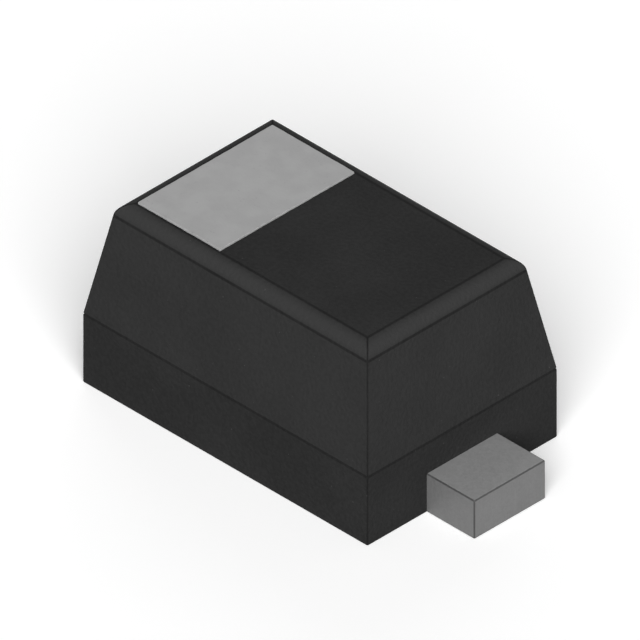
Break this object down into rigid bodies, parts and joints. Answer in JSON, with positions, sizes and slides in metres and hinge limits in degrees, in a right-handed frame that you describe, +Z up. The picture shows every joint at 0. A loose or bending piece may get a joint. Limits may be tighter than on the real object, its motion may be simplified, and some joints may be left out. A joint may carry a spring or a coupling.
{
  "type": "surface mount pin diode",
  "caption": "Moulded surface mount PIN diode with a flat solder lead at each end, a pale band marking the cathode end, and the bonded chip and gold wire inside.",
  "frame": {"origin": "middle of the whole part, which a placement machine lines up; the board's plane, which the feet and the body stand on, is 0.328 mm below it", "axes": "+X along the body from the cathode end, which has the band, to the anode end; +Y across the body; +Z up from the board"},
  "size_m": [0.0016, 0.0008, 0.0006],
  "materials": {
    "moulding_compound": "matte",
    "band_ink": "matte",
    "plated_lead": "satin",
    "silver_glue": "satin",
    "back_metal": "satin",
    "silicon": "gloss",
    "passivation_glass": "gloss",
    "contact_metal": "satin",
    "gold_wire": "polished"
  },
  "bodies": {
    "root": {"moulded_body": "moulding_compound", "cathode_band": "band_ink", "cathode_lead": "plated_lead", "anode_lead": "plated_lead", "die_attach": "silver_glue", "cathode_contact": "back_metal", "pin_chip": "silicon", "chip_passivation": "passivation_glass", "anode_contact": "contact_metal", "bond_wire": "gold_wire"}
  },
  "joints": []
}
